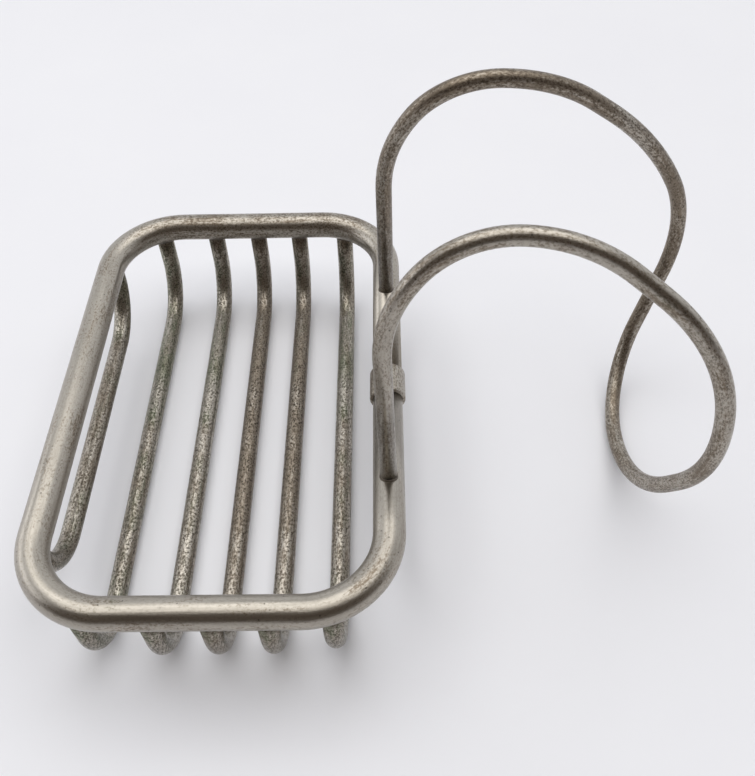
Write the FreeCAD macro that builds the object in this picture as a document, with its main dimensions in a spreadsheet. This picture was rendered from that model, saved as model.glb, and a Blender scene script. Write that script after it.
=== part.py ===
"""Wire soap dish that hooks over the rolled rim of a bath tub.

A heavy wire bent to a rounded rectangle is the rim; its two ends meet inside a sleeve near the
middle of one long side.  U-shaped slats hang below it: five make the floor, and one under each long
side, bent shallower, keeps the soap in.  One long wire stands on the sleeve side, arches outwards
and down and comes back up as the second arm: that arch sits over the tub's rim.

Millimetres.  X points from the tray towards the hanger, Y runs along the tray, Z is up.
The origin is the centre of the tray, on the plane that the floor slats rest on.
"""
import FreeCAD, Part
import math
import os
import Sketcher
from FreeCAD import Placement, Rotation, Vector

# ---------------------------------------------------------------- driving dimensions

SIZES = {
    # rim: heavy round wire, sizes taken along its centre line
    "rim_width": 84.0,
    "rim_length": 132.5,
    "rim_corner": 20.0,
    "rim_wire": 7.9,
    "rim_joint_gap": 0.4,
    "rim_joint_y": -1.7,
    # sleeve over the butt joint of the rim
    "ferrule_length": 9.4,
    "ferrule_wall": 0.8,
    "ferrule_edge": 0.65,
    # slats: lighter wire, bent to a U and hung from the rim
    "slat_wire": 5.1,
    "slat_drop": 28.0,
    "slat_bend": 14.8,
    "side_slat_drop": 19.4,
    "side_slat_inset": 0.15,
    # hanger: one wire with both feet on the sleeve side of the rim
    "hanger_wire": 4.2,
    "foot_spread": 65.4,
    # solder left round each joint
    "solder_spread": 0.9,
    "solder_height": 1.3,
}

# How far each slat sits from its even place across the tray: they were set by eye.
SLAT_NUDGES = {2: -1.1, 3: 1.3, 4: 0.9, 5: 0.1, 6: 0.8}

# Bends of the hanger from the foot to the bottom of its loop.  Each has its distance outwards
# from the rim, half the spread between the arms and its height above the rim, and then how much
# further out, wider and higher the far arm was bent than the near one.
HANGER_BENDS = {
    "shoulder": (-1.4, 27.3, 53.3, 1.0, 1.5, 0.8),
    "crown_rise": (14.4, 24.2, 71.7, -0.3, 0.3, 3.3),
    "crown_fall": (38.9, 24.6, 70.2, 0.8, 3.3, 2.2),
    "haunch": (68.4, 35.4, 50.0, -0.4, 0.2, 0.5),
    "side": (74.7, 40.8, 14.4, 10.6, -0.3, 6.4),
    "toe": (65.5, 19.8, -25.1, 2.8, 5.6, -6.15),
}
BEND_FIELDS = ("out", "half", "up", "far_out", "far_half", "far_up")

SLATS = range(1, 8)
FIRST_SLAT, LAST_SLAT = min(SLATS), max(SLATS)
MIDDLE_SLAT = (FIRST_SLAT + LAST_SLAT) / 2
FOOT_SINK = 0.25        # share of the rim's wire that a joined end reaches past the centre line
BEND_SHARE = 0.5        # an arc takes up to this share of each run beside it
FOOT_SHARE = 0.95       # and this share of the run that ends at a foot


def make_sheet(doc):
    """Put every driving dimension into the sheet, one aliased cell each."""
    sheet = doc.addObject("Spreadsheet::Sheet", "sizes")
    cells = dict(SIZES)
    for slat, nudge in SLAT_NUDGES.items():
        cells[f"slat_nudge_{slat}"] = nudge
    for bend, values in HANGER_BENDS.items():
        for field, value in zip(BEND_FIELDS, values):
            cells[f"{bend}_{field}"] = value
    for row, (alias, value) in enumerate(cells.items(), start=1):
        sheet.set(f"A{row}", alias)
        sheet.set(f"B{row}", str(value))
        sheet.setAlias(f"B{row}", alias)
    doc.recompute()
    return sheet


# ---------------------------------------------------------------- shared expressions

RIM_UP = "(sizes.slat_drop + sizes.slat_wire / 2)"      # height of the rim's centre line
ARC_START = "(sizes.rim_width / 2 - sizes.rim_corner)"  # where the short sides start to turn
FLOOR_UP = "sizes.slat_wire / 2"                        # height of a floor slat's centre line
SIDE_UP = f"{FLOOR_UP} + sizes.slat_drop - sizes.side_slat_drop"


def slat_place(slat):
    """Expression for where a slat stands across the tray."""
    if slat == FIRST_SLAT:
        return "(sizes.side_slat_inset - sizes.rim_width / 2)"
    if slat == LAST_SLAT:
        return "(sizes.rim_width / 2 - sizes.side_slat_inset)"
    pitches = slat - MIDDLE_SLAT
    return f"(sizes.rim_width / {LAST_SLAT - FIRST_SLAT} * {pitches} + sizes.slat_nudge_{slat})"


def slat_reach(slat):
    """Expression for half the slat's length: its legs end under the rim's centre line."""
    past = f"max(abs({slat_place(slat)}) - {ARC_START}; 0)"
    return f"(sizes.rim_length / 2 - sizes.rim_corner + sqrt(sizes.rim_corner ^ 2 - ({past}) ^ 2))"


# ---------------------------------------------------------------- sketch helpers

def plane_of(body, role):
    return next(f for f in body.Origin.OriginFeatures if f.Role == role)


def add_sketch(body, name, role):
    sketch = body.newObject("Sketcher::SketchObject", name)
    sketch.AttachmentSupport = (plane_of(body, role), [""])
    sketch.MapMode = "FlatFace"
    return sketch


def bind(sketch, constraint, alias, expression):
    """Add one named dimension to a sketch and tie it to the sheet."""
    index = sketch.addConstraint(constraint)
    sketch.renameConstraint(index, alias)
    sketch.setExpression(f"Constraints.{alias}", expression)


def round_section(body, name, role, radius, across, along):
    """A circle on one of the body's planes, at expressions `across` and `along` in that plane."""
    sketch = add_sketch(body, name, role)
    sketch.addGeometry(Part.Circle(Vector(1, 1, 0), Vector(0, 0, 1), 1.0), False)
    bind(sketch, Sketcher.Constraint("Radius", 0, 1.0), "wire_radius", radius)
    for kind, alias, value in (("DistanceX", "across", across), ("DistanceY", "along", along)):
        if value is None:
            continue
        bind(sketch, Sketcher.Constraint(kind, -1, 1, 0, 3, 1.0), alias, value)
    if along is None:
        sketch.addConstraint(Sketcher.Constraint("PointOnObject", 0, 3, -1))
    return sketch


def add_pipe(body, name, section, spine):
    pipe = body.newObject("PartDesign::AdditivePipe", name)
    pipe.Profile = section
    pipe.Spine = (spine, [""])
    body.Tip = pipe
    return pipe


# ---------------------------------------------------------------- rim and ferrule

def make_rim(doc):
    """The rim's wire: a rounded rectangle whose ends nearly meet on the hanger's side."""
    body = doc.addObject("PartDesign::Body", "rim_wire")
    spine = add_sketch(body, "rim_path", "XY_Plane")
    spine.setExpression(".AttachmentOffset.Base.z", RIM_UP)

    wide, long, turn = SIZES["rim_width"] / 2, SIZES["rim_length"] / 2, SIZES["rim_corner"]
    gap, joint = SIZES["rim_joint_gap"] / 2, SIZES["rim_joint_y"]
    corners = [(wide, long), (-wide, long), (-wide, -long), (wide, -long)]
    start, end = Vector(wide, joint + gap, 0), Vector(wide, joint - gap, 0)
    add_rounded_path(spine, start, [Vector(x, y, 0) for x, y in corners], end, turn)

    lines, arcs = (0, 2, 4, 6, 8), (1, 3, 5, 7)
    for line, kind in zip(lines, ("Vertical", "Horizontal", "Vertical", "Horizontal", "Vertical")):
        spine.addConstraint(Sketcher.Constraint(kind, line))
    for arc in arcs[1:]:
        spine.addConstraint(Sketcher.Constraint("Equal", arcs[0], arc))
    bind(spine, Sketcher.Constraint("Radius", arcs[0], turn), "corner", "sizes.rim_corner")
    half_width, half_length = "sizes.rim_width / 2", "sizes.rim_length / 2"
    start_y = "(sizes.rim_joint_y + sizes.rim_joint_gap / 2)"
    end_y = "(sizes.rim_joint_y - sizes.rim_joint_gap / 2)"
    places = (
        ("DistanceX", (-1, 1, 0, 1), wide, "side_x", half_width),
        ("DistanceY", (0, 1, 2, 1), long - joint - gap, "start_y", f"{half_length} - {start_y}"),
        ("DistanceY", (-1, 1, 2, 1), long, "back_y", half_length),
        ("DistanceX", (4, 1, -1, 1), wide, "far_side_x", half_width),
        ("DistanceY", (6, 1, -1, 1), long, "front_y", half_length),
        ("DistanceX", (-1, 1, 8, 2), wide, "end_x", half_width),
        ("DistanceY", (6, 1, 8, 2), long + joint - gap, "end_y", f"{half_length} + {end_y}"),
    )
    for kind, points, value, alias, expression in places:
        bind(spine, Sketcher.Constraint(kind, *points, value), alias, expression)

    section = round_section(body, "rim_section", "XZ_Plane", "sizes.rim_wire / 2", half_width, RIM_UP)
    section.setExpression(".AttachmentOffset.Base.z", f"-{start_y}")
    add_pipe(body, "rim_pipe", section, spine)
    return body


def add_rounded_path(sketch, start, corners, end, radius):
    """Lines and tangent arcs through the corners, each arc joined to the lines beside it."""
    points = [start, *corners, end]
    count = 0
    before = start
    for previous, corner, following in zip(points, points[1:], points[2:]):
        arrive = (corner - previous).normalize()
        leave = (following - corner).normalize()
        first, last = corner - arrive * radius, corner + leave * radius
        centre = first + leave * radius
        sketch.addGeometry(Part.LineSegment(before, first), False)
        middle = centre + (corner - centre).normalize() * radius
        sketch.addGeometry(Part.Arc(first, middle, last), False)
        before = last
        count += 2
    sketch.addGeometry(Part.LineSegment(before, end), False)
    for line in range(0, count, 2):
        arc = line + 1
        into, out_of = arc_ends(sketch, arc, line)
        sketch.addConstraint(Sketcher.Constraint("Tangent", line, 2, arc, into))
        sketch.addConstraint(Sketcher.Constraint("Tangent", arc, out_of, line + 2, 1))


def arc_ends(sketch, arc, line):
    """Which end of the arc the line before it runs into, and the other one."""
    line_end = sketch.Geometry[line].EndPoint
    at_start = sketch.Geometry[arc].StartPoint.distanceToPoint(line_end) < 1e-6
    return (1, 2) if at_start else (2, 1)


def make_ferrule(doc):
    """The sleeve over the butt joint of the rim: a turned ring with eased outer edges."""
    body = doc.addObject("PartDesign::Body", "rim_ferrule")
    spun = add_sketch(body, "ferrule_section", "XY_Plane")
    spun.setExpression(".AttachmentOffset.Base.y", "sizes.rim_joint_y")
    spun.setExpression(".AttachmentOffset.Base.z", RIM_UP)
    inner = SIZES["rim_width"] / 2 + SIZES["rim_wire"] / 2
    outer = inner + SIZES["ferrule_wall"]
    half = SIZES["ferrule_length"] / 2
    ring = [Vector(inner, -half, 0), Vector(outer, -half, 0), Vector(outer, half, 0), Vector(inner, half, 0)]
    for a, b in zip(ring, ring[1:] + ring[:1]):
        spun.addGeometry(Part.LineSegment(a, b), False)
    for line in range(4):
        spun.addConstraint(Sketcher.Constraint("Coincident", line, 2, (line + 1) % 4, 1))
        spun.addConstraint(Sketcher.Constraint("Vertical" if line % 2 else "Horizontal", line))
    half_length = "sizes.ferrule_length / 2"
    bind(spun, Sketcher.Constraint("DistanceX", -1, 1, 0, 1, inner), "bore_x",
         "sizes.rim_width / 2 + sizes.rim_wire / 2")
    bind(spun, Sketcher.Constraint("DistanceX", 0, 1, 0, 2, 1.0), "wall", "sizes.ferrule_wall")
    bind(spun, Sketcher.Constraint("DistanceY", 0, 1, -1, 1, half), "front_y", half_length)
    bind(spun, Sketcher.Constraint("DistanceY", -1, 1, 2, 1, half), "back_y", half_length)

    axis_line = spun.addGeometry(Part.LineSegment(Vector(40, -half, 0), Vector(40, half, 0)), True)
    spun.addConstraint(Sketcher.Constraint("Vertical", axis_line))
    bind(spun, Sketcher.Constraint("DistanceX", -1, 1, axis_line, 1, 40.0), "axis_x", "sizes.rim_width / 2")
    bind(spun, Sketcher.Constraint("DistanceY", axis_line, 1, -1, 1, half), "axis_front", half_length)
    bind(spun, Sketcher.Constraint("DistanceY", -1, 1, axis_line, 2, half), "axis_back", half_length)

    turned = body.newObject("PartDesign::Revolution", "ferrule_ring")
    turned.Profile = spun
    turned.ReferenceAxis = (spun, ["Axis0"])
    turned.Angle = 360.0
    doc.recompute()
    eased = body.newObject("PartDesign::Fillet", "ferrule_edges")
    eased.Base = (turned, outer_circles(turned.Shape, SIZES["rim_wire"] / 2 + SIZES["ferrule_wall"]))
    eased.setExpression("Radius", "sizes.ferrule_edge")
    body.Tip = eased
    return body


def outer_circles(shape, radius):
    """Names of the round edges of this radius."""
    names = []
    for index, edge in enumerate(shape.Edges, start=1):
        if hasattr(edge.Curve, "Radius") and abs(edge.Curve.Radius - radius) < 1e-3:
            names.append(f"Edge{index}")
    return names


# ---------------------------------------------------------------- slats

def make_slat(doc, slat, rim):
    """One U-shaped slat, its two ends coped to the underside of the rim."""
    body = doc.addObject("PartDesign::Body", f"slat_{slat}_bar")
    spine = add_sketch(body, f"slat_{slat}_path", "YZ_Plane")
    spine.setExpression(".AttachmentOffset.Base.z", slat_place(slat))

    beside = slat in (FIRST_SLAT, LAST_SLAT)
    reach, turn = SIZES["rim_length"] / 2, SIZES["slat_bend"]
    top = SIZES["slat_wire"] / 2 + SIZES["slat_drop"]
    low = top - SIZES["side_slat_drop" if beside else "slat_drop"]
    start, end = Vector(-reach, top, 0), Vector(reach, top, 0)
    add_rounded_path(spine, start, [Vector(-reach, low, 0), Vector(reach, low, 0)], end, turn)
    for line, kind in ((0, "Vertical"), (2, "Horizontal"), (4, "Vertical")):
        spine.addConstraint(Sketcher.Constraint(kind, line))
    spine.addConstraint(Sketcher.Constraint("Equal", 1, 3))
    bind(spine, Sketcher.Constraint("Radius", 1, turn), "bend", "sizes.slat_bend")
    end_height = f"{RIM_UP} - sizes.rim_wire * {FOOT_SINK}"
    places = (
        ("DistanceX", (0, 1, -1, 1), reach, "front_y", slat_reach(slat)),
        ("DistanceX", (-1, 1, 4, 2), reach, "back_y", slat_reach(slat)),
        ("DistanceY", (-1, 1, 0, 1), top, "front_top", end_height),
        ("DistanceY", (-1, 1, 4, 2), top, "back_top", end_height),
        ("DistanceY", (-1, 1, 2, 1), low, "run_height", SIDE_UP if beside else FLOOR_UP),
    )
    for kind, points, value, alias, expression in places:
        bind(spine, Sketcher.Constraint(kind, *points, value), alias, expression)

    section = round_section(body, f"slat_{slat}_section", "XY_Plane", "sizes.slat_wire / 2", None, None)
    section.setExpression(".AttachmentOffset.Base.x", slat_place(slat))
    section.setExpression(".AttachmentOffset.Base.y", f"-{slat_reach(slat)}")
    section.setExpression(".AttachmentOffset.Base.z", end_height)
    section.addConstraint(Sketcher.Constraint("PointOnObject", 0, 3, -2))
    add_pipe(body, f"slat_{slat}_pipe", section, spine)

    coped = doc.addObject("Part::Cut", f"slat_{slat}")
    coped.Base, coped.Tool = body, rim
    return coped


# ---------------------------------------------------------------- hanger

def arm_points(sheet, side):
    """Corners of one arm's path from its foot to the bottom of the loop; side is -1 or 1."""
    rim_x, rim_z = sheet.rim_width / 2, sheet.slat_drop + sheet.slat_wire / 2
    far = (side + 1) / 2
    foot_z = rim_z + sheet.rim_wire * FOOT_SINK
    points = [Vector(rim_x, side * sheet.foot_spread / 2, foot_z)]
    for bend in HANGER_BENDS:
        out, half, up, far_out, far_half, far_up = (getattr(sheet, f"{bend}_{field}") for field in BEND_FIELDS)
        spread = side * (half + far * far_half)
        points.append(Vector(rim_x + out + far * far_out, spread, rim_z + up + far * far_up))
    return points


def tangent_arc(before, corner, after, shares):
    """The largest arc that rounds a corner within its shares of the two runs beside it."""
    arrive, leave = corner - before, after - corner
    cut = min(arrive.Length * shares[0], leave.Length * shares[1])
    first = corner - Vector(arrive).normalize() * cut
    last = corner + Vector(leave).normalize() * cut
    turn = arrive.getAngle(leave)
    radius = cut / math.tan(turn / 2)
    inward = ((first + last) / 2 - corner).normalize()
    centre = corner + inward * (radius / math.cos(turn / 2))
    return Part.Arc(first, centre - inward * radius, last), first, last


def rounded_wire(points):
    """Straight runs joined by tangent arcs."""
    edges, here = [], points[0]
    inner = len(points) - 2
    for index in range(1, inner + 1):
        shares = (FOOT_SHARE if index == 1 else BEND_SHARE, FOOT_SHARE if index == inner else BEND_SHARE)
        arc, first, last = tangent_arc(points[index - 1], points[index], points[index + 1], shares)
        if here.distanceToPoint(first) > 1e-3:
            edges.append(Part.LineSegment(here, first).toShape())
        edges.append(arc.toShape())
        here = last
    edges.append(Part.LineSegment(here, points[-1]).toShape())
    return Part.Wire(edges)


def make_hanger(doc, sheet, rim):
    """The bent wire whose two feet are coped to the top of the rim."""
    near, far = arm_points(sheet, -1), arm_points(sheet, 1)
    path = doc.addObject("Part::Feature", "hanger_path")
    path.Shape = rounded_wire(near + far[::-1])
    section = doc.addObject("Part::Circle", "hanger_section")
    section.setExpression("Radius", "sizes.hanger_wire / 2")
    section.Placement = Placement(near[0], Rotation(Vector(0, 0, 1), near[1] - near[0]))
    swept = doc.addObject("Part::Sweep", "hanger_bar")
    swept.Sections = [section]
    swept.Spine = (path, [f"Edge{i + 1}" for i in range(len(path.Shape.Edges))])
    swept.Solid = True
    swept.Frenet = False
    coped = doc.addObject("Part::Cut", "hanger_wire")
    coped.Base, coped.Tool = swept, rim
    return coped


# ---------------------------------------------------------------- solder

def solder_collar(doc, name, place, wire, up):
    """A cone of solder round a wire's end; it widens towards the rim (up is 1 above, -1 below)."""
    cone = doc.addObject("Part::Cone", name)
    thin, wide = f"{wire} / 2 + 0.1", f"{wire} / 2 + sizes.solder_spread"
    reach = "sizes.rim_wire / 2 + sizes.solder_height"
    cone.setExpression("Radius1", wide if up > 0 else thin)
    cone.setExpression("Radius2", thin if up > 0 else wide)
    cone.setExpression("Height", f"{reach} - sizes.rim_wire / 4")
    cone.setExpression(".Placement.Base.x", place[0])
    cone.setExpression(".Placement.Base.y", place[1])
    base = f"{RIM_UP} + sizes.rim_wire / 4" if up > 0 else f"{RIM_UP} - ({reach})"
    cone.setExpression(".Placement.Base.z", base)
    return cone


def make_solder(doc, name, collars, covered):
    """Trim a set of collars to what shows outside the wires they join."""
    together = doc.addObject("Part::Compound", f"{name}_collars")
    together.Links = collars
    wires = doc.addObject("Part::Compound", f"{name}_wires")
    wires.Links = covered
    trimmed = doc.addObject("Part::Cut", name)
    trimmed.Base, trimmed.Tool = together, wires
    return trimmed


# ---------------------------------------------------------------- the whole dish

def build():
    doc = FreeCAD.newDocument("tub_soap_dish")
    sheet = make_sheet(doc)
    rim = make_rim(doc)
    ferrule = make_ferrule(doc)
    doc.recompute()

    slats, slat_collars = [], []
    for slat in SLATS:
        slats.append(make_slat(doc, slat, rim))
        for end, side in (("front", -1), ("back", 1)):
            place = (slat_place(slat), f"{side} * {slat_reach(slat)}")
            slat_collars.append(solder_collar(doc, f"slat_{slat}_{end}_collar", place, "sizes.slat_wire", -1))
    hanger = make_hanger(doc, sheet, rim)
    foot_collars = []
    for end, side in (("front", -1), ("back", 1)):
        place = ("sizes.rim_width / 2", f"{side} * sizes.foot_spread / 2")
        foot_collars.append(solder_collar(doc, f"foot_{end}_collar", place, "sizes.hanger_wire", 1))
    slat_solder = make_solder(doc, "slat_solder", slat_collars, [rim, *slats])
    hanger_solder = make_solder(doc, "hanger_solder", foot_collars, [rim, hanger])
    doc.recompute()
    return doc, [rim, ferrule, *slats, hanger, slat_solder, hanger_solder]


def export(doc, nodes):
    for item in doc.Objects:
        if "Invalid" in item.State or "Error" in item.State:
            raise RuntimeError(f"{item.Name} did not build: {item.State}")
    for node in nodes:
        if node.Shape.isNull() or not node.Shape.isValid():
            raise RuntimeError(f"{node.Label} has no valid shape")
    os.makedirs("parts", exist_ok=True)
    for node in nodes:
        node.Shape.exportStep(f"parts/{node.Label}.step")
        box = node.Shape.optimalBoundingBox(False)
        print(f"{node.Label:14} solids {len(node.Shape.Solids):2}  volume {node.Shape.Volume:8.1f}  "
              f"x {box.XMin:7.2f} {box.XMax:7.2f}  y {box.YMin:7.2f} {box.YMax:7.2f}  "
              f"z {box.ZMin:6.2f} {box.ZMax:6.2f}")


document, pieces = build()
export(document, pieces)
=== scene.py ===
# %% [markdown]
# # A wire soap dish that hooks over the rim of a bath tub
# The real thing is old nickel-plated brass wire, bent by hand and soldered. The engineering model
# already holds every size, so this notebook only rebuilds the wires finely enough for close looks,
# gives them the finish of many years in a bathroom, and lights them on a plain white table.

# %% Load the frame
import math

import bmesh
import bpy
from mathutils import Matrix, Vector


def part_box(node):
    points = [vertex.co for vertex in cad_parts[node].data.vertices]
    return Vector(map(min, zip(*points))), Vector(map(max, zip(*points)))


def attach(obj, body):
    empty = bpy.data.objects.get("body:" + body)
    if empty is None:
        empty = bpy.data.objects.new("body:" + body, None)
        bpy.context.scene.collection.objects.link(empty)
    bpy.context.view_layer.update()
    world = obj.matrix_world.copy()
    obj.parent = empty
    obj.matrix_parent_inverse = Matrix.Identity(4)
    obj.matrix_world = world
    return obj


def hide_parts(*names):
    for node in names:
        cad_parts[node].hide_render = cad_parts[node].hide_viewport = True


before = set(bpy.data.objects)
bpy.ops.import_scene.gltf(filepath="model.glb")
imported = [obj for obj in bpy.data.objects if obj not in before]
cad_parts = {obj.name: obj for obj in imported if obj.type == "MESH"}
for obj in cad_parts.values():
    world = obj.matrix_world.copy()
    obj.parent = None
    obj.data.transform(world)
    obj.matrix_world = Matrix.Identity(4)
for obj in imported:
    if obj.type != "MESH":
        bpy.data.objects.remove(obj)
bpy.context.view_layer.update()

MM = 0.001
print("the frame has", len(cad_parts), "nodes")


# %% [markdown]
# ## Sizes
# Most sizes can be read back from the frame: the rim's box gives its wire, its width and its
# height, and each slat's box gives its place. Only radii and the hanger's bends can't be read from
# a box, so they are repeated here in millimetres.

# %% Sizes from the frame
def box_size(node):
    """Lowest corner, highest corner and extent of one node of the frame."""
    low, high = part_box(node)
    return low, high, high - low


rim_low, rim_high, rim_size = box_size("rim_wire")
RIM_WIRE = rim_size.z
RIM_HALF_WIDTH = (rim_size.x - RIM_WIRE) / 2
RIM_HALF_LENGTH = (rim_size.y - RIM_WIRE) / 2
RIM_Z = (rim_low.z + rim_high.z) / 2
RIM_CORNER = 20.0 * MM
RIM_GAP = 0.4 * MM             # between the wire's two ends, inside the sleeve
END_DEPTH = RIM_WIRE / 4       # a soldered end stops this far short of the rim's centre line
print(f"rim {RIM_WIRE / MM:.1f} mm wire, centre line {RIM_Z / MM:.1f} mm above the floor")


# %% [markdown]
# ## Slats and hanger
# The seven slats share one wire and one bend. The hanger was bent by hand, so no formula gives its
# bends. They are a short list, measured from the middle of the rim's side that the arms stand on.

# %% Sizes of the slats and the hanger
SLATS = [f"slat_{number}" for number in range(1, 8)]
SLAT_WIRE = box_size("slat_4")[2].x
SLAT_BEND = 14.8 * MM
HANGER_WIRE = 4.2 * MM
FOOT_SPREAD = 65.4 * MM
# from the foot to the bottom of the loop: how far out from the rim, half the spread between the
# arms and the height above the rim, and then how much further out, wider and higher the far arm is
HANGER_BENDS = {
    "shoulder": (-1.4, 27.3, 53.3, 1.0, 1.5, 0.8),
    "crown_rise": (14.4, 24.2, 71.7, -0.3, 0.3, 3.3),
    "crown_fall": (38.9, 24.6, 70.2, 0.8, 3.3, 2.2),
    "haunch": (68.4, 35.4, 50.0, -0.4, 0.2, 0.5),
    "side": (74.7, 40.8, 14.4, 10.6, -0.3, 6.4),
    "toe": (65.5, 19.8, -25.1, 2.8, 5.6, -6.15),
}
print(len(SLATS), "slats of", round(SLAT_WIRE / MM, 1), "mm wire")


# %% [markdown]
# ## A bar that follows a route
# Wire is drawn straight and then bent, and its scratches and stains run along it. So each bar
# starts as a circle that is extruded along the straight runs and spun round the bends, exactly as
# a bending jig would. A curve with a bevel would be quicker, but here every point also keeps its
# place on the straight wire, before it was bent, in an attribute that the finish reads.

# %% Start, run and turn
RIM_SIDES, WIRE_SIDES = 64, 48
CHORD_ERROR = 0.012 * MM       # how far a step's chord may lie inside the true bend
NO_LENGTH = 1e-7               # metres; a run shorter than this is left out


def start_bar(point, heading, radius, sides):
    """A circle facing along the heading, ready to be drawn out into a bar."""
    bm = bmesh.new()
    layer = bm.verts.layers.float_vector.new("bar_coords")
    place = Matrix.Translation(point) @ heading.to_track_quat("Z", "Y").to_matrix().to_4x4()
    ring = bmesh.ops.create_circle(bm, segments=sides, radius=radius, matrix=place)["verts"]
    back = place.inverted()
    for vert in ring:
        vert[layer] = back @ vert.co
    return {"bm": bm, "layer": layer, "ring": ring, "end": point.copy(), "length": 0.0}


def move_on(bar, ring, length):
    """Note the new end ring, and give its points their place along the straight wire."""
    layer, old = bar["layer"], set(bar["ring"])
    bar["length"] += length
    for vert in ring:
        near = (edge.other_vert(vert) for edge in vert.link_edges)
        x, y, _ = next(other for other in near if other in old)[layer]
        vert[layer] = (x, y, bar["length"])
    bar["ring"] = ring


def ring_edges(verts):
    """The edges between these points, each once and always in the same order."""
    ring = set(verts)
    return list(dict.fromkeys(e for v in verts for e in v.link_edges if e.other_vert(v) in ring))


def run(bar, to):
    """Draw the bar out in a straight line to a point."""
    step = to - bar["end"]
    if step.length < NO_LENGTH:
        return
    made = bmesh.ops.extrude_edge_only(bar["bm"], edges=ring_edges(bar["ring"]))["geom"]
    ring = [item for item in made if isinstance(item, bmesh.types.BMVert)]
    bmesh.ops.translate(bar["bm"], verts=ring, vec=step)
    move_on(bar, ring, step.length)
    bar["end"] = to.copy()


def turn(bar, centre, axis, angle):
    """Bend the bar round a centre, in steps small enough to look round."""
    radius = (bar["end"] - centre).length
    steps = math.ceil(angle / (2 * math.acos(1 - CHORD_ERROR / radius)))
    for _ in range(steps):
        made = bmesh.ops.spin(bar["bm"], geom=ring_edges(bar["ring"]), cent=centre, axis=axis,
                              angle=angle / steps, steps=1)["geom_last"]
        ring = [item for item in made if isinstance(item, bmesh.types.BMVert)]
        move_on(bar, ring, radius * angle / steps)
    bar["end"] = centre + Matrix.Rotation(angle, 3, axis) @ (bar["end"] - centre)


# %% [markdown]
# ## From corners to bends
# A route is a few corners. Each corner is cut off by an arc that is tangent to both of its runs:
# either an arc of a known radius, as on the rim and the slats, or the largest one that its share
# of the two runs allows, as on the hanger, which was bent by eye over a former.

# %% Follow a route
def arc_at(before, corner, after, cut):
    """Centre, axis, angle and first point of the arc that cuts a corner off."""
    arrive, leave = (corner - before).normalized(), (after - corner).normalized()
    angle = arrive.angle(leave)
    first, last = corner - arrive * cut, corner + leave * cut
    radius = cut / math.tan(angle / 2)
    inward = ((first + last) / 2 - corner).normalized()
    centre = corner + inward * (radius / math.cos(angle / 2))
    return centre, arrive.cross(leave).normalized(), angle, first


def follow(bar, corners, cut_at):
    """Take the bar through all the corners; cut_at(i) says how far from corner i its arc begins."""
    for i in range(1, len(corners) - 1):
        centre, axis, angle, first = arc_at(corners[i - 1], corners[i], corners[i + 1], cut_at(i))
        run(bar, first)
        turn(bar, centre, axis, angle)
    run(bar, corners[-1])


# %% [markdown]
# ## From mesh to piece
# Every piece ends the same way: its normals are turned outwards, it becomes an object, it is tied
# to the body that it rides on, and the part of the engineering model that it stands for is hidden.
# Smooth shading is enough here, because no wire has a sharp edge that shows.

# %% Finish a piece
def finish_piece(bm, name, node):
    """Turn a bmesh into an object that rides on the body, and hide the node that it stands for."""
    bmesh.ops.recalc_face_normals(bm, faces=bm.faces)
    mesh = bpy.data.meshes.new(name)
    bm.to_mesh(mesh)
    bm.free()
    mesh.shade_smooth()
    piece = bpy.data.objects.new(name, mesh)
    bpy.context.scene.collection.objects.link(piece)
    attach(piece, "root")
    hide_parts(node)
    print(f"{name}: {len(mesh.polygons)} faces")
    return piece


def close_ends(bar):
    """Cap both open ends of a bar."""
    open_edges = [edge for edge in bar["bm"].edges if edge.is_boundary]
    bmesh.ops.holes_fill(bar["bm"], edges=open_edges, sides=0)


# %% [markdown]
# ## The rim
# One heavy wire, bent to a rounded rectangle, with its two ends butted inside a sleeve. A closed
# ring would hide the joint just as well, but a wire that starts at the sleeve and goes all the way
# round has its stains and draw lines where the real one has them.

# %% The rim
def make_rim():
    """The rim's wire, all the way round from one side of its joint to the other."""
    x, y, gap = RIM_HALF_WIDTH, RIM_HALF_LENGTH, RIM_GAP / 2
    low, high, _ = box_size("rim_ferrule")
    joint = (low.y + high.y) / 2
    flat = [(x, joint + gap), (x, y), (-x, y), (-x, -y), (x, -y), (x, joint - gap)]
    corners = [Vector((px, py, RIM_Z)) for px, py in flat]
    bar = start_bar(corners[0], Vector((0, 1, 0)), RIM_WIRE / 2, RIM_SIDES)
    follow(bar, corners, lambda i: RIM_CORNER)
    close_ends(bar)
    return finish_piece(bar["bm"], "rim_bar", "rim_wire")


rim_bar = make_rim()


# %% [markdown]
# ## The slats
# Each slat is a lighter wire bent to a shallow U. The real ones are filed to the rim's round and
# soldered. A boolean could cut them to it, but it would leave ragged faces at a place that nobody
# sees, so the legs simply end inside the rim.

# %% The slats
def make_slat(node):
    """One slat, at the place and depth of its node."""
    low, high, _ = box_size(node)
    x = (low.x + high.x) / 2
    reach = high.y - SLAT_WIRE / 2
    floor, top = low.z + SLAT_WIRE / 2, RIM_Z - END_DEPTH
    flat = ((-reach, top), (-reach, floor), (reach, floor), (reach, top))
    corners = [Vector((x, y, z)) for y, z in flat]
    bar = start_bar(corners[0], Vector((0, 0, -1)), SLAT_WIRE / 2, WIRE_SIDES)
    follow(bar, corners, lambda i: SLAT_BEND)
    close_ends(bar)
    return finish_piece(bar["bm"], f"{node}_bar", node)


slat_bars = {node: make_slat(node) for node in SLATS}


# %% [markdown]
# ## The hanger
# One long wire makes both arms, the arch and the loop. Mirroring one arm would be quicker, but it
# was bent by hand, so the two arms are alike and not the same, and no two bends share a radius.

# %% The hanger
BEND_SHARE = 0.5       # how much of a run each bend at its ends may take up
FOOT_SHARE = 0.95      # the run up from a foot has only one bend, so it may take nearly all of it


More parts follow.
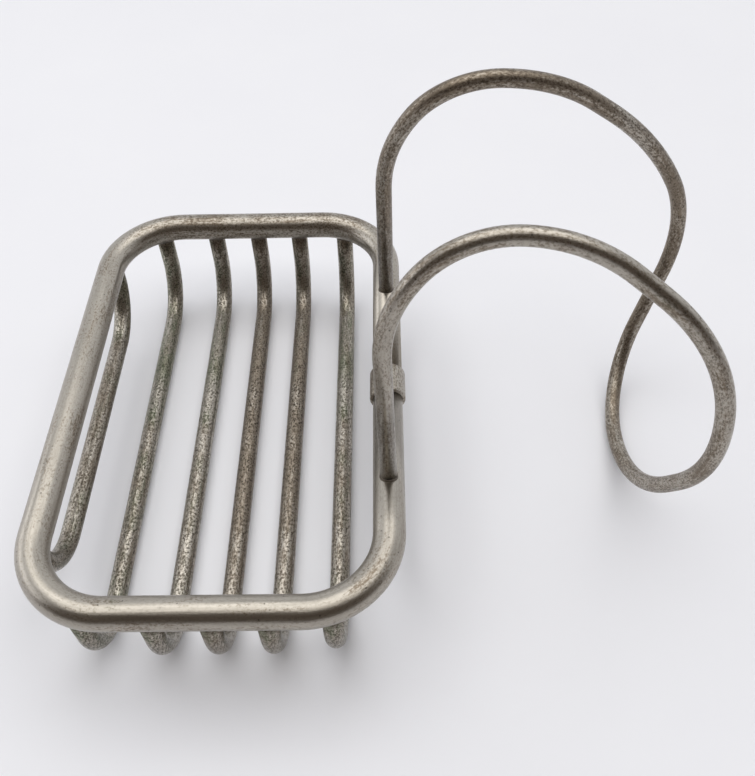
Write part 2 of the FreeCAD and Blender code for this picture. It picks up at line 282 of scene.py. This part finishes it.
def arm_corners(side):
    """Corners of one arm, from its foot to the bottom of the loop; side is -1 or 1."""
    far = (side + 1) / 2
    corners = [Vector((RIM_HALF_WIDTH, side * FOOT_SPREAD / 2, RIM_Z + END_DEPTH))]
    for out, half, up, far_out, far_half, far_up in HANGER_BENDS.values():
        x = RIM_HALF_WIDTH + (out + far * far_out) * MM
        y = side * (half + far * far_half) * MM
        corners.append(Vector((x, y, RIM_Z + (up + far * far_up) * MM)))
    return corners


def make_hanger():
    """The hanger, from one foot over the arch and round the loop to the other foot."""
    corners = arm_corners(-1) + arm_corners(1)[::-1]
    last = len(corners) - 2

    def cut(i):
        before = (corners[i] - corners[i - 1]).length * (FOOT_SHARE if i == 1 else BEND_SHARE)
        after = (corners[i + 1] - corners[i]).length * (FOOT_SHARE if i == last else BEND_SHARE)
        return min(before, after)

    bar = start_bar(corners[0], corners[1] - corners[0], HANGER_WIRE / 2, WIRE_SIDES)
    follow(bar, corners, cut)
    close_ends(bar)
    return finish_piece(bar["bm"], "hanger_bar", "hanger_wire")


hanger_bar = make_hanger()


# %% [markdown]
# ## The ferrule
# The sleeve over the rim's joint is a short turned ring. Its outline is drawn once, beside the
# rim's centre line, its two outer corners are bevelled round, and a full spin closes it.

# %% The ferrule
FERRULE_EDGE, EDGE_STEPS = 0.65 * MM, 5
FERRULE_GRIP = 0.02 * MM       # the bore is this much tighter than the wire, so no gap shows


def make_ferrule():
    """The sleeve, spun from its outline; its place in the finish is its place on the rim's wire."""
    low, high, size = box_size("rim_ferrule")
    bm = bmesh.new()
    bore, outside = RIM_WIRE / 2 - FERRULE_GRIP, size.z / 2
    outline = [(bore, low.y), (outside, low.y), (outside, high.y), (bore, high.y)]
    verts = [bm.verts.new((RIM_HALF_WIDTH, y, RIM_Z + up)) for up, y in outline]
    edges = [bm.edges.new((verts[i], verts[(i + 1) % 4])) for i in range(4)]
    bmesh.ops.bevel(bm, geom=verts[1:3], affect="VERTICES", offset=FERRULE_EDGE,
                    segments=EDGE_STEPS, profile=0.5, material=-1)
    bmesh.ops.spin(bm, geom=list(bm.edges) + list(bm.verts), cent=(RIM_HALF_WIDTH, 0, RIM_Z),
                   axis=(0, 1, 0), angle=math.tau, steps=RIM_SIDES, use_merge=True)
    layer = bm.verts.layers.float_vector.new("bar_coords")
    for vert in bm.verts:
        vert[layer] = (vert.co.x - RIM_HALF_WIDTH, vert.co.z - RIM_Z, vert.co.y)
    return finish_piece(bm, "ferrule_ring", "rim_ferrule")


ferrule_ring = make_ferrule()


# %% [markdown]
# ## Solder
# Solder wets both wires, so its edge climbs the leg and spreads over the rim, and its outside is
# hollow, like a drop of water between two rods. A remesh could melt the wires together, but it
# would blur them too. So each joint is a circle on the leg that is extruded outwards in rings, and
# every ring is laid on the rim's round surface.

# %% Solder joints
SOLDER_SPREAD, SOLDER_HEIGHT = 0.35 * MM, 0.55 * MM
SOLDER_RINGS, SOLDER_SIDES = 6, 40
SOLDER_FLARE = 1.6             # above 1, a collar is steep at the leg and flat at its edge
SOLDER_TUCK = 0.25 * MM        # how far a collar reaches into the leg
SOLDER_LAP = 0.02 * MM         # how far it stands off the leg at its top
SOLDER_SINK = 0.05 * MM        # how far it is let into the rim
WIDEST = 0.98 * RIM_WIRE / 2   # past this the rim's side is too steep to lay a ring on


def rim_offset(x, y):
    """Distance of a point, seen from above, from the rim's centre line."""
    dx = abs(x) - (RIM_HALF_WIDTH - RIM_CORNER)
    dy = abs(y) - (RIM_HALF_LENGTH - RIM_CORNER)
    if dx > 0 and dy > 0:
        return abs(math.hypot(dx, dy) - RIM_CORNER)
    return min(abs(abs(x) - RIM_HALF_WIDTH), abs(abs(y) - RIM_HALF_LENGTH))


def solder_ring(centre, radius, share, side):
    """Points of one ring; share runs from 0 on the leg to 1 on the rim."""
    points = []
    climb = SOLDER_HEIGHT * (1 - share) ** 2 - SOLDER_SINK
    for step in range(SOLDER_SIDES):
        angle = math.tau * step / SOLDER_SIDES
        x, y = centre.x + radius * math.cos(angle), centre.y + radius * math.sin(angle)
        off = min(rim_offset(x, y), WIDEST)
        surface = math.sqrt((RIM_WIRE / 2) ** 2 - off ** 2)
        points.append(Vector((x, y, RIM_Z + side * (surface + climb))))
    return points


def add_joint(bm, centre, leg_radius, side):
    """One closed collar of solder; side is 1 on top of the rim and -1 under it."""
    made = bmesh.ops.create_circle(bm, segments=SOLDER_SIDES, radius=leg_radius)["verts"]
    rings = [(leg_radius - SOLDER_TUCK, 0.0), (leg_radius + SOLDER_LAP, 0.0)]
    for step in range(1, SOLDER_RINGS + 1):
        share = step / SOLDER_RINGS
        rings.append((leg_radius + SOLDER_SPREAD * share ** SOLDER_FLARE, share))
    rings.append((leg_radius - SOLDER_TUCK, 1.0))
    first = ring = list(made)
    for index, (radius, share) in enumerate(rings):
        if index:
            grown = bmesh.ops.extrude_edge_only(bm, edges=ring_edges(ring))["geom"]
            new = {v for v in grown if isinstance(v, bmesh.types.BMVert)}
            ring = [next(e.other_vert(v) for e in v.link_edges if e.other_vert(v) in new) for v in ring]
        for vert, point in zip(ring, solder_ring(centre, radius, share, side)):
            vert.co = point
    bmesh.ops.bridge_loops(bm, edges=ring_edges(first) + ring_edges(ring))


def make_solder(name, node, places, leg_radius, side):
    """All the joints of one node, at the places where its legs meet the rim."""
    bm = bmesh.new()
    for place in places:
        add_joint(bm, place, leg_radius, side)
    return finish_piece(bm, name, node)


slat_ends = []
for node in SLATS:
    low, high, _ = box_size(node)
    for y in (low.y + SLAT_WIRE / 2, high.y - SLAT_WIRE / 2):
        slat_ends.append(Vector(((low.x + high.x) / 2, y, RIM_Z)))
slat_joints = make_solder("slat_joints", "slat_solder", slat_ends, SLAT_WIRE / 2, -1)
feet = [Vector((RIM_HALF_WIDTH, side * FOOT_SPREAD / 2, RIM_Z)) for side in (-1, 1)]
foot_joints = make_solder("foot_joints", "hanger_solder", feet, HANGER_WIRE / 2, 1)


# %% [markdown]
# ## Tools for the finish
# Colours are picked as sRGB hex values, so one function turns them linear. One more function adds
# a node with its settings and links. A Mix node lists the inputs of every data type, so its plain
# numbers are inputs 2 and 3, and its colours 6 and 7. Pattern sizes are given in millimetres of
# the real thing.

# %% Colour and node tools
def linear(hex_colour):
    """An sRGB hex colour as linear red, green, blue and alpha."""
    channels = [int(hex_colour[i:i + 2], 16) / 255 for i in (1, 3, 5)]
    return [c / 12.92 if c <= 0.04045 else ((c + 0.055) / 1.055) ** 2.4 for c in channels] + [1.0]


def add(tree, kind, inputs=None, **settings):
    """Add a node, set its properties, and link or set each of its inputs."""
    node = tree.nodes.new(kind)
    for key, value in settings.items():
        setattr(node, key, value)
    for key, value in (inputs or {}).items():
        if isinstance(value, bpy.types.NodeSocket):
            tree.links.new(value, node.inputs[key])
        else:
            node.inputs[key].default_value = value
    return node


def per_mm(size):
    """The scale of a texture whose features are this many millimetres across."""
    return 1000 / size


# %% [markdown]
# ## Worn nickel plate
# Nickel over drawn brass: a warm grey, satin metal. The die left fine lines along the wire. Years
# of water pitted the plate, and where it is gone the brass under it is dull brown, or green where
# it stayed damp. All of this could be painted by hand, but noise does it evenly for ten pieces. It
# is laid out on the straight wire, so the lines follow every bend. The real specks are a tenth of
# a millimetre, too fine to see, so they are drawn larger.

# %% Patterns on the straight wire
PATTERNS = {    # size in millimetres, how much of the wire's length counts, detail, roughness
    "lines": (0.55, 0.04, 4.0, 0.5),
    "patches": (6.0, 0.3, 8.0, 0.72),
    "damp": (10.0, 0.3, 8.0, 0.75),
    "specks": (0.45, 0.6, 3.0, 0.7),
}
PIT_SPACING = 2.6    # millimetres


def wire_patterns(tree):
    """The patterns that the finish is made of, drawn out along the wire like the real ones."""
    wire = add(tree, "ShaderNodeAttribute", attribute_name="bar_coords").outputs["Vector"]
    seen = {"wire": wire}
    for name, (size, along, detail, roughness) in PATTERNS.items():
        place = add(tree, "ShaderNodeVectorMath", {0: wire, 1: (1, 1, along)},
                    operation="MULTIPLY").outputs[0]
        noise = add(tree, "ShaderNodeTexNoise", {"Vector": place, "Scale": per_mm(size),
                                                 "Detail": detail, "Roughness": roughness})
        seen[name] = noise.outputs["Fac"]
    cells = add(tree, "ShaderNodeTexVoronoi", {"Vector": wire, "Scale": per_mm(PIT_SPACING)})
    seen["pits"] = cells.outputs["Distance"]
    return seen


# %% [markdown]
# ## How worn each point is
# The plate goes first where a patch, a draw line and a speck meet, so the three are added up. A
# wire can also have one stretch that took more wear than the rest. There more plate is gone, the
# brass stays brown, and what is left of the plate is rougher.

# %% Wear along a wire
SPECK_LOSS, LINE_LOSS = 0.7, 0.5          # how much these count beside a patch
STRETCH_LOSS, STRETCH_DAMP, STRETCH_ROUGH = 0.14, -0.12, 0.32     # what a worn stretch adds
STRETCH_CORE = 0.3                        # this much of the stretch's reach is worn in full


def worn_stretch(tree, wire, middle, reach):
    """1 round the stretch's middle and 0 past its reach, both in millimetres along the wire."""
    place = add(tree, "ShaderNodeSeparateXYZ", {0: wire}).outputs["Z"]
    away = add(tree, "ShaderNodeMath", {0: place, 1: middle * MM}, operation="SUBTRACT").outputs[0]
    away = add(tree, "ShaderNodeMath", {0: away}, operation="ABSOLUTE").outputs[0]
    return add(tree, "ShaderNodeMapRange", {"Value": away, "From Min": reach * MM,
                                            "From Max": STRETCH_CORE * reach * MM}).outputs[0]


def wear_levels(tree, seen, pits, stretch):
    """How much plate is lost, how damp the wire stayed and how rough it is, at each point."""
    loss = add(tree, "ShaderNodeMath", {0: seen["specks"], 1: SPECK_LOSS, 2: seen["patches"]},
               operation="MULTIPLY_ADD").outputs[0]
    loss = add(tree, "ShaderNodeMath", {0: seen["lines"], 1: LINE_LOSS, 2: loss},
               operation="MULTIPLY_ADD").outputs[0]
    if not stretch:
        return loss, seen["damp"], pits
    near = worn_stretch(tree, seen["wire"], *stretch)
    loss = add(tree, "ShaderNodeMath", {0: near, 1: STRETCH_LOSS, 2: loss},
               operation="MULTIPLY_ADD").outputs[0]
    damp = add(tree, "ShaderNodeMath", {0: near, 1: STRETCH_DAMP, 2: seen["damp"]},
               operation="MULTIPLY_ADD").outputs[0]
    rough = add(tree, "ShaderNodeMath", {0: near, 1: STRETCH_ROUGH, 2: pits},
                operation="MULTIPLY_ADD", use_clamp=True).outputs[0]
    return loss, damp, rough


# %% [markdown]
# ## Masks
# A mask says how much of one thing a point has. A Map Range node cuts it out of a pattern, and the
# more worn the wire is, the more of the pattern it takes. Its range is narrow, so the edges come
# out ragged and speckled, as they are where plate has flaked, and not soft like a stain.

# %% Masks
MASK_CUTS = {    # where a mask begins and ends on a sound wire, and how far full wear moves each
    "bare": (1.32, 1.46, -0.42, -0.30),
    "green": (0.60, 0.76, -0.20, -0.20),
    "pit": (0.03, 0.10, 0.05, 0.08),
}
MOST, PIT_MOST = 0.9, 0.7                 # no mask hides what is under it altogether
FLAKE_CUT, FLECK_CUT = (0.52, 0.60), (0.54, 0.44)
FLECK_SHARE, FLECK_HOLD = 0.75, -0.45     # a bright fleck is plate that has held


def cut(mask, amount):
    """The range that cuts this mask out, for a wire with this much of it."""
    begin, end, begin_moves, end_moves = MASK_CUTS[mask]
    return {"From Min": begin + begin_moves * amount, "From Max": end + end_moves * amount}


def plate_flecks(tree, seen, rough):
    """Bright plate: along the draw lines where it is smooth, between the pits where it is rough."""
    fleck = add(tree, "ShaderNodeMapRange", {"Value": seen["specks"], "From Min": FLECK_CUT[0],
                                             "From Max": FLECK_CUT[1]}).outputs[0]
    share = add(tree, "ShaderNodeMath", {0: rough, 1: FLECK_SHARE}, operation="MULTIPLY").outputs[0]
    return add(tree, "ShaderNodeMix", {"Factor": share, 2: seen["lines"], 3: fleck},
               data_type="FLOAT").outputs[0]


def wear_masks(tree, seen, worn, green, pits, stretch):
    """Masks for bare brass, the green on it, dark pits and bright flecks of plate."""
    loss, damp, rough = wear_levels(tree, seen, pits, stretch)
    bare = add(tree, "ShaderNodeMapRange", {"Value": loss, **cut("bare", worn), "To Max": MOST}
               ).outputs[0]
    is_green = add(tree, "ShaderNodeMapRange", {"Value": damp, **cut("green", green), "To Max": MOST}
                   ).outputs[0]
    pit = add(tree, "ShaderNodeMapRange", {"Value": seen["pits"], **cut("pit", pits),
                                           "To Min": PIT_MOST, "To Max": 0.0}).outputs[0]
    flake = add(tree, "ShaderNodeMapRange", {"Value": seen["specks"], "From Min": FLAKE_CUT[0],
                                             "From Max": FLAKE_CUT[1], "To Max": rough}).outputs[0]
    dark = add(tree, "ShaderNodeMath", {0: pit, 1: flake}, operation="MAXIMUM").outputs[0]
    fleck = plate_flecks(tree, seen, rough)
    kept = add(tree, "ShaderNodeMath", {0: fleck, 1: FLECK_HOLD * pits, 2: 1.0},
               operation="MULTIPLY_ADD").outputs[0]
    bare = add(tree, "ShaderNodeMath", {0: bare, 1: kept}, operation="MULTIPLY").outputs[0]
    return bare, is_green, dark, fleck


# %% [markdown]
# ## Colour, gloss and bump
# The masks choose between the plate, brown brass and green brass, and put grime in the pits. Dull
# metal is rougher than plate and not quite as metallic, so it reflects the room less clearly. The
# bump is less than a tenth of a millimetre deep. It breaks up the reflections and leaves the
# wire's outline alone.

# %% Colour and bump
PLATE = ("#8a847a", "#bfb8ad")      # the duller plate and the brighter flecks
BROWN, GREEN, GRIME = "#736656", "#5f694e", "#26211d"
PIT_DEPTH, LINE_DEPTH = -0.8, 0.5   # beside a speck, which stands up by 1
BUMP_DEPTH = 0.1 * MM
DULL_ROUGHER, DULL_METALLIC = 0.12, 0.88


def wire_colour(tree, bare, is_green, dark, fleck):
    """Plate, with brass where it is bare, and grime in the pits."""
    plate = add(tree, "ShaderNodeMix", {"Factor": fleck, 6: linear(PLATE[0]), 7: linear(PLATE[1])},
                data_type="RGBA").outputs[2]
    brass = add(tree, "ShaderNodeMix", {"Factor": is_green, 6: linear(BROWN), 7: linear(GREEN)},
                data_type="RGBA").outputs[2]
    metal = add(tree, "ShaderNodeMix", {"Factor": bare, 6: plate, 7: brass},
                data_type="RGBA").outputs[2]
    return add(tree, "ShaderNodeMix", {"Factor": dark, 6: metal, 7: linear(GRIME)},
               data_type="RGBA").outputs[2]


def wire_bump(tree, seen, dark, pits):
    """Specks and draw lines that stand up, and pits that go down."""
    height = add(tree, "ShaderNodeMath", {0: dark, 1: PIT_DEPTH, 2: seen["specks"]},
                 operation="MULTIPLY_ADD").outputs[0]
    height = add(tree, "ShaderNodeMath", {0: seen["lines"], 1: LINE_DEPTH, 2: height},
                 operation="MULTIPLY_ADD").outputs[0]
    return add(tree, "ShaderNodeBump", {"Height": height, "Strength": 0.3 + 0.7 * pits,
                                        "Distance": BUMP_DEPTH}).outputs["Normal"]


# %% Worn nickel plate
def worn_nickel(name, worn, green, pits, rough, stretch=None):
    """Nickel plate; worn, green and pits say from 0 to 1 how much of each the wire has."""
    material = bpy.data.materials.new(name)
    material.use_nodes = True
    tree = material.node_tree
    tree.nodes.clear()
    seen = wire_patterns(tree)
    bare, is_green, dark, fleck = wear_masks(tree, seen, worn, green, pits, stretch)
    dull = add(tree, "ShaderNodeMath", {0: bare, 1: dark}, operation="MAXIMUM").outputs[0]
    gloss = add(tree, "ShaderNodeMapRange", {"Value": dull, "To Min": rough,
                                             "To Max": rough + DULL_ROUGHER}).outputs[0]
    metal = add(tree, "ShaderNodeMapRange", {"Value": dull, "To Min": 1.0,
                                             "To Max": DULL_METALLIC}).outputs[0]
    colour = wire_colour(tree, bare, is_green, dark, fleck)
    bump = wire_bump(tree, seen, dark, pits)
    shader = add(tree, "ShaderNodeBsdfPrincipled", {"Base Color": colour, "Roughness": gloss,
                                                    "Metallic": metal, "Normal": bump})
    add(tree, "ShaderNodeOutputMaterial", {"Surface": shader.outputs["BSDF"]})
    return material


def wear(piece, material):
    """Give a piece its finish."""
    piece.data.materials.append(material)
    print(piece.name, "is", material.name)


# %% [markdown]
# ## Which wire wore how
# One finish would make the dish look dipped in paint, so every wire gets its own. Hands polished
# the rim, so it is the smoothest. The slats stood in soapy water and are pitted all over: the
# middle ones rubbed through to brown, the outer ones stayed damp and went green.

# %% Finishes of the wires
wear(rim_bar, worn_nickel("rubbed_nickel_rim", worn=0.42, green=0.25, pits=0.09, rough=0.29,
                          stretch=(98, 55)))
wear(ferrule_ring, worn_nickel("rubbed_nickel_ferrule", worn=0.7, green=0.2, pits=0.3, rough=0.33))
wear(hanger_bar, worn_nickel("pitted_nickel_hanger", worn=0.68, green=0.25, pits=0.20, rough=0.28,
                             stretch=(330, 220)))
SLAT_ROUGH = 0.25
SLAT_WEAR = {    # worn, green, pits and the stretch that is rubbed brown
    "slat_1": (0.95, 0.75, 0.55, None),
    "slat_2": (0.95, 1.00, 0.65, None),
    "slat_3": (0.80, 0.90, 0.60, None),
    "slat_4": (0.95, 0.60, 0.50, (95, 60)),
    "slat_5": (0.90, 0.75, 0.50, (100, 55)),
    "slat_6": (0.90, 0.85, 0.60, None),
    "slat_7": (0.90, 0.60, 0.55, None),
}
for node, (worn, green, pits, stretch) in SLAT_WEAR.items():
    wear(slat_bars[node], worn_nickel(f"pitted_nickel_{node}", worn, green, pits, SLAT_ROUGH, stretch))


# %% [markdown]
# ## Old solder
# Tin and lead solder goes a dull dark grey, and here it is mottled from a dark grey to a mid grey.
# The joints are tiny, so one noise between two greys is enough. It sits on Object coordinates,
# because solder has no grain to follow.

# %% Old solder
# the two greys of the solder's mottle: the darker one and the lighter one
SOLDER_DARK, SOLDER_GREY = "#443e37", "#857c70"
MOTTLE_SIZE = 1.2      # millimetres


def old_solder():
    """Dull grey solder, mottled from a dark grey to a mid grey."""
    material = bpy.data.materials.new("tarnished_solder")
    material.use_nodes = True
    tree = material.node_tree
    tree.nodes.clear()
    place = add(tree, "ShaderNodeTexCoord").outputs["Object"]
    mottle = add(tree, "ShaderNodeTexNoise", {"Vector": place, "Scale": per_mm(MOTTLE_SIZE),
                                            "Detail": 4.0}).outputs["Fac"]
    colour = add(tree, "ShaderNodeMix", {"Factor": mottle, 6: linear(SOLDER_DARK),
                                         7: linear(SOLDER_GREY)}, data_type="RGBA").outputs[2]
    bump = add(tree, "ShaderNodeBump", {"Height": mottle, "Strength": 0.5,
                                        "Distance": BUMP_DEPTH}).outputs["Normal"]
    shader = add(tree, "ShaderNodeBsdfPrincipled", {"Base Color": colour, "Roughness": 0.5,
                                                    "Metallic": 0.8, "Normal": bump})
    add(tree, "ShaderNodeOutputMaterial", {"Surface": shader.outputs["BSDF"]})
    return material


solder = old_solder()
for joints in (slat_joints, foot_joints):
    wear(joints, solder)


# %% [markdown]
# ## The table
# A round sheet of smooth white card, so wide that its edge is only seen as a far horizon. It has
# a faint sheen, which gives each wire a soft streak beside its shadow.

# %% The table
TABLE_RADIUS, TABLE_SIDES = 5.0, 128
CARD = ("#e9e9ed", "#eeeef1")
CLOUD_SIZE = 60      # millimetres


def make_table():
    """The round table, which isn't part of the dish."""
    bm = bmesh.new()
    bmesh.ops.create_circle(bm, cap_ends=True, segments=TABLE_SIDES, radius=TABLE_RADIUS)
    mesh = bpy.data.meshes.new("white_table")
    bm.to_mesh(mesh)
    bm.free()
    table = bpy.data.objects.new("white_table", mesh)
    bpy.context.scene.collection.objects.link(table)
    material = bpy.data.materials.new("white_card")
    material.use_nodes = True
    tree = material.node_tree
    tree.nodes.clear()
    place = add(tree, "ShaderNodeTexCoord").outputs["Object"]
    cloud = add(tree, "ShaderNodeTexNoise", {"Vector": place, "Scale": per_mm(CLOUD_SIZE),
                                             "Detail": 4.0}).outputs["Fac"]
    colour = add(tree, "ShaderNodeMix", {"Factor": cloud, 6: linear(CARD[0]), 7: linear(CARD[1])},
                 data_type="RGBA").outputs[2]
    shader = add(tree, "ShaderNodeBsdfPrincipled", {"Base Color": colour, "Roughness": 0.45,
                                                    "Specular IOR Level": 0.3})
    add(tree, "ShaderNodeOutputMaterial", {"Surface": shader.outputs["BSDF"]})
    mesh.materials.append(material)
    print("table", TABLE_RADIUS * 2, "m across")


make_table()


# %% [markdown]
# ## Light
# Metal shows what is round it, so the light is chosen for its reflections. A wide soft light high
# behind the dish draws the bright band along the top of every wire, the table lights them from
# below, and the darker room on the near side leaves a dark band between the two.

# %% Light
def soft_light(name, place, aim, size, power, colour):
    """A rectangular lamp at a place, facing the point that it is aimed at."""
    light = bpy.data.lights.new(name, "AREA")
    light.shape = "RECTANGLE"
    light.size, light.size_y = size
    light.energy = power
    light.color = linear(colour)[:3]
    lamp = bpy.data.objects.new(name, light)
    facing = (Vector(aim) - Vector(place)).to_track_quat("-Z", "Y")
    lamp.matrix_world = Matrix.Translation(Vector(place)) @ facing.to_matrix().to_4x4()
    bpy.context.scene.collection.objects.link(lamp)


soft_light("ceiling_light", place=(0.0, 0.12, 1.1), aim=(0.0, 0.12, 0.0), size=(1.6, 1.2),
           power=8.2, colour="#fffefb")
soft_light("left_light", place=(-1.2, 0.1, 0.45), aim=(0.04, 0.0, 0.03), size=(1.2, 0.6),
           power=2.5, colour="#f8faff")


# %% [markdown]
# ## The room
# Lamps alone would leave black between the highlights. A real room fills that in, darker on the
# side where the viewer stands. A world colour that fades from one to the other does the same, and
# needs no walls.

# %% The room
ROOM_DARK, ROOM_PALE, ROOM_LIGHT = "#564d46", "#dfe1e5", 1.2
DARK_SIDE, PALE_SIDE = -0.45, 0.25       # where the fade begins and ends, along Y


def make_room():
    """A world that is darker towards -Y, where the viewer stands, and pale elsewhere."""
    world = bpy.data.worlds.new("pale_room")
    world.use_nodes = True
    tree = world.node_tree
    tree.nodes.clear()
    toward = add(tree, "ShaderNodeTexCoord").outputs["Generated"]
    depth = add(tree, "ShaderNodeSeparateXYZ", {0: toward}).outputs["Y"]
    away = add(tree, "ShaderNodeMapRange", {"Value": depth, "From Min": DARK_SIDE,
                                            "From Max": PALE_SIDE},
               interpolation_type="SMOOTHSTEP").outputs[0]
    shade = add(tree, "ShaderNodeMix", {"Factor": away, 6: linear(ROOM_DARK), 7: linear(ROOM_PALE)},
                data_type="RGBA").outputs[2]
    air = add(tree, "ShaderNodeBackground", {"Color": shade, "Strength": ROOM_LIGHT})
    add(tree, "ShaderNodeOutputWorld", {"Surface": air.outputs["Background"]})
    bpy.context.scene.world = world


make_room()
bpy.context.scene.view_settings.view_transform = "Standard"


# %% [markdown]
# ## Camera
# The dish is seen from the front and well above, close enough that the near end looks larger.

# %% Camera
CAMERA_PLACE = Vector((42.1, -150.7, 208.4)) * MM
CAMERA_TURN, CAMERA_TILT, CAMERA_ROLL = 1.08, 39.9, -1.63    # degrees
LENS, SENSOR = 41.14, 36.0                                    # millimetres

camera_data = bpy.data.cameras.new("camera")
camera_data.lens, camera_data.sensor_width, camera_data.sensor_fit = LENS, SENSOR, "HORIZONTAL"
camera_data.clip_start = 10 * MM
camera = bpy.data.objects.new("camera", camera_data)
camera.matrix_world = (Matrix.Translation(CAMERA_PLACE)
                       @ Matrix.Rotation(math.radians(CAMERA_TURN), 4, "Z")
                       @ Matrix.Rotation(math.radians(CAMERA_TILT), 4, "X")
                       @ Matrix.Rotation(math.radians(CAMERA_ROLL), 4, "Z"))
bpy.context.scene.collection.objects.link(camera)
bpy.context.scene.camera = camera
print("camera", round(CAMERA_PLACE.length, 3), "m from the tray")
